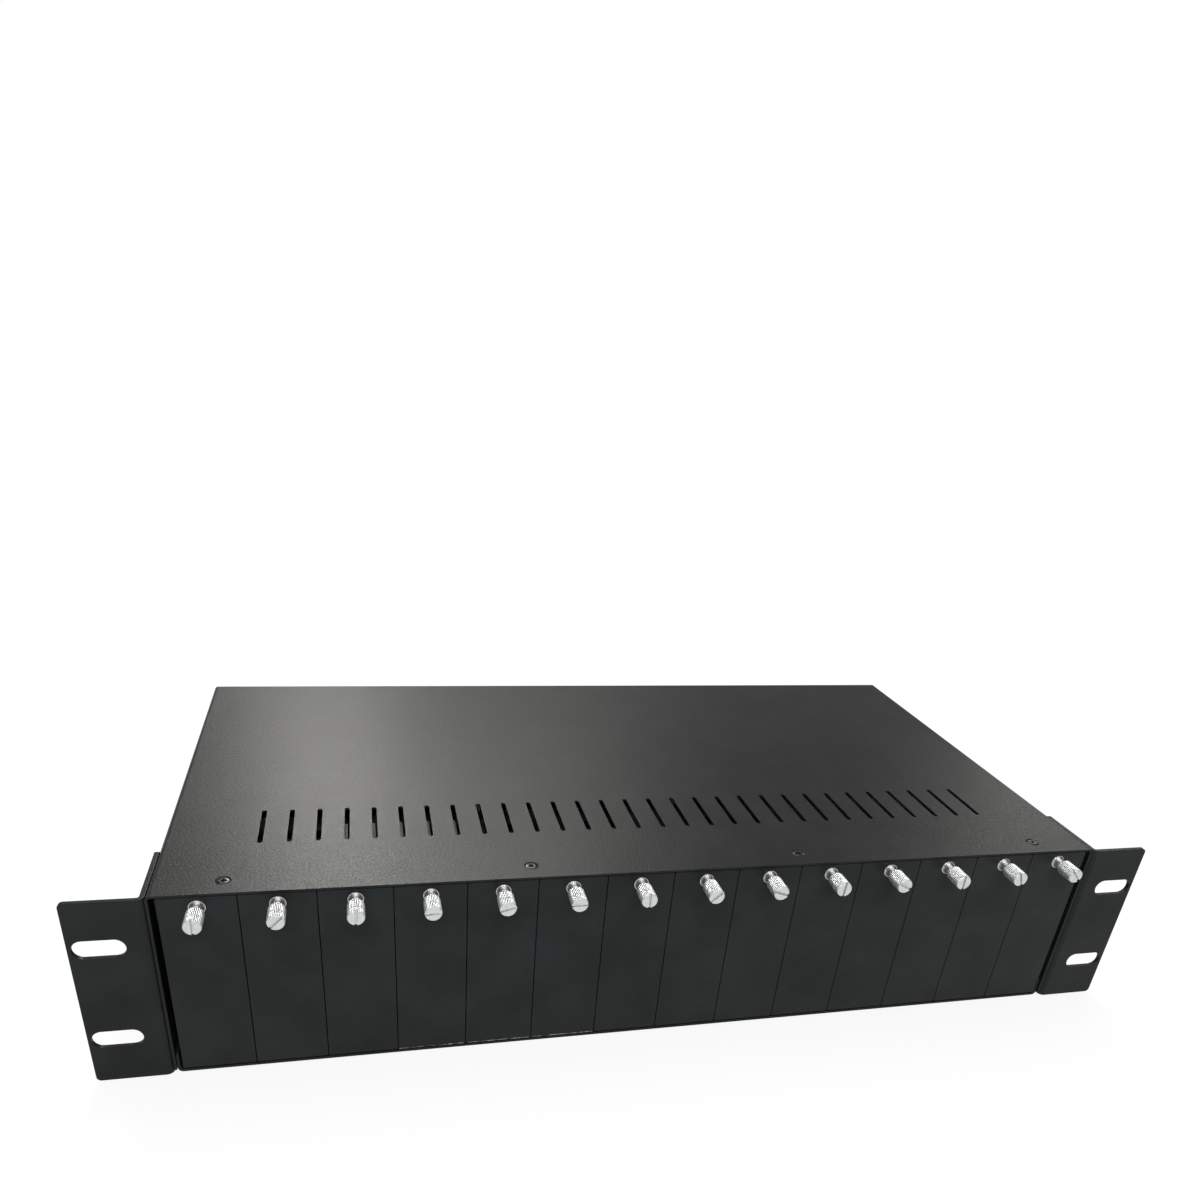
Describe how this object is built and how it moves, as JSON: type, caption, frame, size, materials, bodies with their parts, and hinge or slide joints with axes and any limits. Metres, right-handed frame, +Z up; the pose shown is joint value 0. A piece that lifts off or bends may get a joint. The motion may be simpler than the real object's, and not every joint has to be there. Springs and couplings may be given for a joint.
{
  "type": "media converter chassis",
  "caption": "Black sheet-metal rack chassis for media converter cards, with rack ears, a slotted top cover and a row of filler panels held by captive thumbscrews.",
  "frame": {"origin": "middle of the body's width and depth, on the underside", "axes": "+X to the right seen from the front, +Y from the front to the rear, +Z up"},
  "size_m": [0.4826, 0.2439, 0.0888],
  "materials": {
    "black_coat": "satin black powder coat with a fine grain",
    "zinc_sheet": "zinc-plated sheet",
    "nickel": "nickel plate",
    "black_plastic": "moulded, fine matt",
    "white_plastic": "moulded nylon",
    "circuit_board": "green solder mask",
    "supply_case": "plain sheet",
    "black_screw": "black oxide"
  },
  "bodies": {
    "chassis": {"base_tray": "black_coat", "top_cover": "black_coat", "rear_panel": "black_coat", "rack_ear_left": "black_coat", "rack_ear_right": "black_coat", "front_top_rail": "black_coat", "front_bottom_rail": "black_coat", "card_guides": "black_plastic", "board_bracket": "zinc_sheet", "dc_board": "circuit_board", "dc_plugs": "black_plastic", "board_spacers": "white_plastic", "power_supply_left": "supply_case", "power_supply_right": "supply_case", "power_inlet_left": "black_plastic", "power_inlet_right": "black_plastic", "inlet_pins": "nickel", "switch_frame_left": "black_plastic", "switch_frame_right": "black_plastic", "fan_frame_left": "black_plastic", "fan_frame_right": "black_plastic", "cover_screws": "black_screw", "ear_screws": "black_screw", "side_screws": "black_screw", "floor_screws": "black_screw", "fan_screws": "black_screw", "inlet_screws": "black_screw", "ground_screw": "nickel"},
    "rocker_left": {"switch_rocker_left": "black_plastic"},
    "rotor_left": {"fan_rotor_left": "black_plastic"},
    "rocker_right": {"switch_rocker_right": "black_plastic"},
    "rotor_right": {"fan_rotor_right": "black_plastic"},
    "panel_01": {"filler_panel_01": "black_coat"},
    "screw_01": {"thumbscrew_01": "nickel"},
    "panel_02": {"filler_panel_02": "black_coat"},
    "screw_02": {"thumbscrew_02": "nickel"},
    "panel_03": {"filler_panel_03": "black_coat"},
    "screw_03": {"thumbscrew_03": "nickel"},
    "panel_04": {"filler_panel_04": "black_coat"},
    "screw_04": {"thumbscrew_04": "nickel"},
    "panel_05": {"filler_panel_05": "black_coat"},
    "screw_05": {"thumbscrew_05": "nickel"},
    "panel_06": {"filler_panel_06": "black_coat"},
    "screw_06": {"thumbscrew_06": "nickel"},
    "panel_07": {"filler_panel_07": "black_coat"},
    "screw_07": {"thumbscrew_07": "nickel"},
    "panel_08": {"filler_panel_08": "black_coat"},
    "screw_08": {"thumbscrew_08": "nickel"},
    "panel_09": {"filler_panel_09": "black_coat"},
    "screw_09": {"thumbscrew_09": "nickel"},
    "panel_10": {"filler_panel_10": "black_coat"},
    "screw_10": {"thumbscrew_10": "nickel"},
    "panel_11": {"filler_panel_11": "black_coat"},
    "screw_11": {"thumbscrew_11": "nickel"},
    "panel_12": {"filler_panel_12": "black_coat"},
    "screw_12": {"thumbscrew_12": "nickel"},
    "panel_13": {"filler_panel_13": "black_coat"},
    "screw_13": {"thumbscrew_13": "nickel"},
    "panel_14": {"filler_panel_14": "black_coat"},
    "screw_14": {"thumbscrew_14": "nickel"}
  },
  "joints": [
    {"name": "switch_left", "type": "hinge", "parent": "chassis", "child": "rocker_left", "pos_m": [-0.138, 0.112, 0.046], "axis": [1, 0, 0], "range_deg": [-20, 0]},
    {"name": "fan_left", "type": "hinge", "parent": "chassis", "child": "rotor_left", "pos_m": [-0.031, 0.105, 0.046], "axis": [0, 1, 0], "continuous": true},
    {"name": "switch_right", "type": "hinge", "parent": "chassis", "child": "rocker_right", "pos_m": [0.138, 0.112, 0.046], "axis": [1, 0, 0], "range_deg": [-20, 0]},
    {"name": "fan_right", "type": "hinge", "parent": "chassis", "child": "rotor_right", "pos_m": [0.031, 0.105, 0.046], "axis": [0, 1, 0], "continuous": true},
    {"name": "panel_pull_01", "type": "slide", "parent": "chassis", "child": "panel_01", "axis": [0, -1, 0], "range_m": [0, 0.03]},
    {"name": "screw_turn_01", "type": "hinge", "parent": "panel_01", "child": "screw_01", "pos_m": [-0.19305, -0.113, 0.083], "axis": [0, 1, 0], "continuous": true},
    {"name": "panel_pull_02", "type": "slide", "parent": "chassis", "child": "panel_02", "axis": [0, -1, 0], "range_m": [0, 0.03]},
    {"name": "screw_turn_02", "type": "hinge", "parent": "panel_02", "child": "screw_02", "pos_m": [-0.16335, -0.113, 0.083], "axis": [0, 1, 0], "continuous": true},
    {"name": "panel_pull_03", "type": "slide", "parent": "chassis", "child": "panel_03", "axis": [0, -1, 0], "range_m": [0, 0.03]},
    {"name": "screw_turn_03", "type": "hinge", "parent": "panel_03", "child": "screw_03", "pos_m": [-0.13365, -0.113, 0.083], "axis": [0, 1, 0], "continuous": true},
    {"name": "panel_pull_04", "type": "slide", "parent": "chassis", "child": "panel_04", "axis": [0, -1, 0], "range_m": [0, 0.03]},
    {"name": "screw_turn_04", "type": "hinge", "parent": "panel_04", "child": "screw_04", "pos_m": [-0.10395, -0.113, 0.083], "axis": [0, 1, 0], "continuous": true},
    {"name": "panel_pull_05", "type": "slide", "parent": "chassis", "child": "panel_05", "axis": [0, -1, 0], "range_m": [0, 0.03]},
    {"name": "screw_turn_05", "type": "hinge", "parent": "panel_05", "child": "screw_05", "pos_m": [-0.07425, -0.113, 0.083], "axis": [0, 1, 0], "continuous": true},
    {"name": "panel_pull_06", "type": "slide", "parent": "chassis", "child": "panel_06", "axis": [0, -1, 0], "range_m": [0, 0.03]},
    {"name": "screw_turn_06", "type": "hinge", "parent": "panel_06", "child": "screw_06", "pos_m": [-0.04455, -0.113, 0.083], "axis": [0, 1, 0], "continuous": true},
    {"name": "panel_pull_07", "type": "slide", "parent": "chassis", "child": "panel_07", "axis": [0, -1, 0], "range_m": [0, 0.03]},
    {"name": "screw_turn_07", "type": "hinge", "parent": "panel_07", "child": "screw_07", "pos_m": [-0.01485, -0.113, 0.083], "axis": [0, 1, 0], "continuous": true},
    {"name": "panel_pull_08", "type": "slide", "parent": "chassis", "child": "panel_08", "axis": [0, -1, 0], "range_m": [0, 0.03]},
    {"name": "screw_turn_08", "type": "hinge", "parent": "panel_08", "child": "screw_08", "pos_m": [0.01485, -0.113, 0.083], "axis": [0, 1, 0], "continuous": true},
    {"name": "panel_pull_09", "type": "slide", "parent": "chassis", "child": "panel_09", "axis": [0, -1, 0], "range_m": [0, 0.03]},
    {"name": "screw_turn_09", "type": "hinge", "parent": "panel_09", "child": "screw_09", "pos_m": [0.04455, -0.113, 0.083], "axis": [0, 1, 0], "continuous": true},
    {"name": "panel_pull_10", "type": "slide", "parent": "chassis", "child": "panel_10", "axis": [0, -1, 0], "range_m": [0, 0.03]},
    {"name": "screw_turn_10", "type": "hinge", "parent": "panel_10", "child": "screw_10", "pos_m": [0.07425, -0.113, 0.083], "axis": [0, 1, 0], "continuous": true},
    {"name": "panel_pull_11", "type": "slide", "parent": "chassis", "child": "panel_11", "axis": [0, -1, 0], "range_m": [0, 0.03]},
    {"name": "screw_turn_11", "type": "hinge", "parent": "panel_11", "child": "screw_11", "pos_m": [0.10395, -0.113, 0.083], "axis": [0, 1, 0], "continuous": true},
    {"name": "panel_pull_12", "type": "slide", "parent": "chassis", "child": "panel_12", "axis": [0, -1, 0], "range_m": [0, 0.03]},
    {"name": "screw_turn_12", "type": "hinge", "parent": "panel_12", "child": "screw_12", "pos_m": [0.13365, -0.113, 0.083], "axis": [0, 1, 0], "continuous": true},
    {"name": "panel_pull_13", "type": "slide", "parent": "chassis", "child": "panel_13", "axis": [0, -1, 0], "range_m": [0, 0.03]},
    {"name": "screw_turn_13", "type": "hinge", "parent": "panel_13", "child": "screw_13", "pos_m": [0.16335, -0.113, 0.083], "axis": [0, 1, 0], "continuous": true},
    {"name": "panel_pull_14", "type": "slide", "parent": "chassis", "child": "panel_14", "axis": [0, -1, 0], "range_m": [0, 0.03]},
    {"name": "screw_turn_14", "type": "hinge", "parent": "panel_14", "child": "screw_14", "pos_m": [0.19305, -0.113, 0.083], "axis": [0, 1, 0], "continuous": true}
  ]
}
